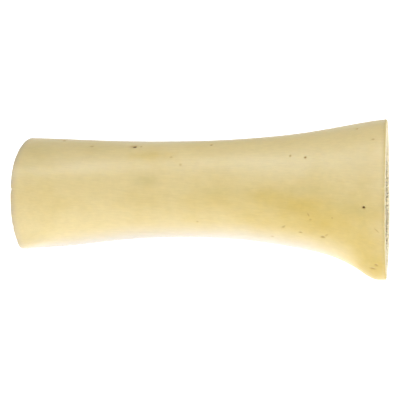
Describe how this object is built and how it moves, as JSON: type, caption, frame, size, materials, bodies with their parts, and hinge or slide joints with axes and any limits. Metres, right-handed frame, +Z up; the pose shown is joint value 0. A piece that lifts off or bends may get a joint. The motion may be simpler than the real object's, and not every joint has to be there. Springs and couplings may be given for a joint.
{
  "type": "cut leg bone shaft",
  "caption": "Hollow cut length of cleaned leg bone: oval shaft flaring towards one end, both ends sawn flat, open marrow bore lined with spongy bone.",
  "frame": {"origin": "centre of the bounding box at its base, on the surface the bone lies on", "axes": "+X along the bone from the narrow cut to the flared cut, +Z up, -Y towards the front; the marrow axis rises 4.6 degrees towards +X because the flared rim is taller than the narrow one"},
  "size_m": [0.1592, 0.0616, 0.0646],
  "materials": {
    "compact_bone": "smooth, faintly waxy, semi-matte",
    "spongy_bone": "porous, matte"
  },
  "bodies": {
    "root": {"compact_bone": "compact_bone", "spongy_bone_narrow_end": "spongy_bone", "spongy_bone_flared_end": "spongy_bone"}
  },
  "joints": []
}
